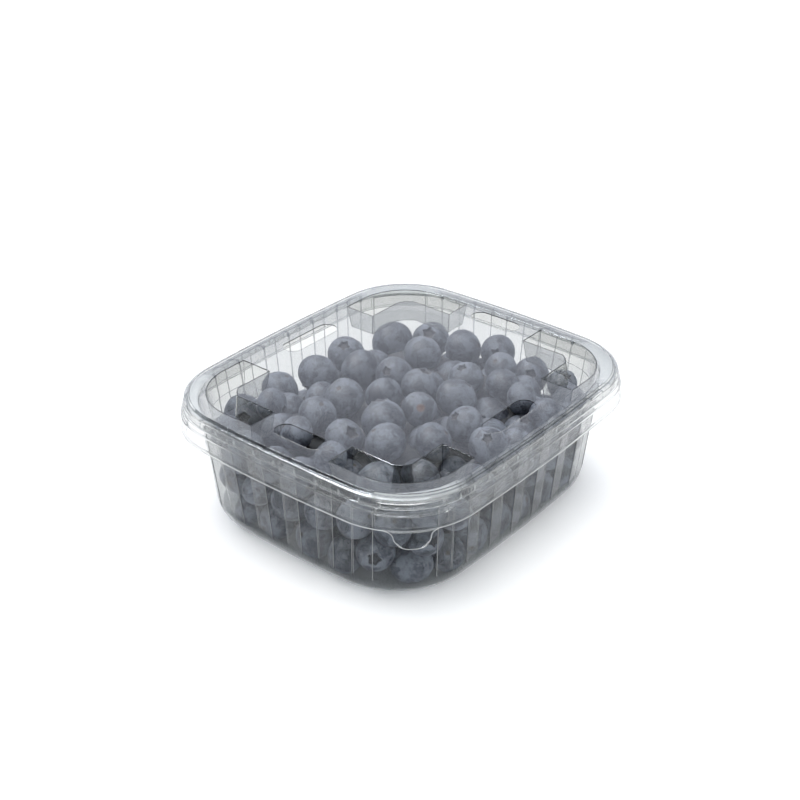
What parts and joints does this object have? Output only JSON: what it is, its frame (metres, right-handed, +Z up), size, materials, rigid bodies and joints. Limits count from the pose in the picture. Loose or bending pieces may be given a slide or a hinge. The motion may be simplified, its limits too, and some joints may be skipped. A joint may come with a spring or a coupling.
{
  "type": "berry punnet",
  "caption": "Shut clear punnet of round dark blue berries: fluted tub, vented clip lid with corner pockets and a thumb tab.",
  "frame": {"origin": "middle of the footprint at the tub's underside, where the pack rests on a table", "axes": "+X along the short side, +Y along the long side, +Z up; the thumb tab is at the +X -Y corner"},
  "size_m": [0.1422, 0.1608, 0.0538],
  "materials": {
    "tub_film": "clear formed film, glossy",
    "lid_film": "clear formed film, glossy",
    "fruit": "dark blue skin under a pale waxy bloom"
  },
  "bodies": {
    "root": {"tub": "tub_film", "lid": "lid_film", "berries": "fruit"}
  },
  "joints": []
}
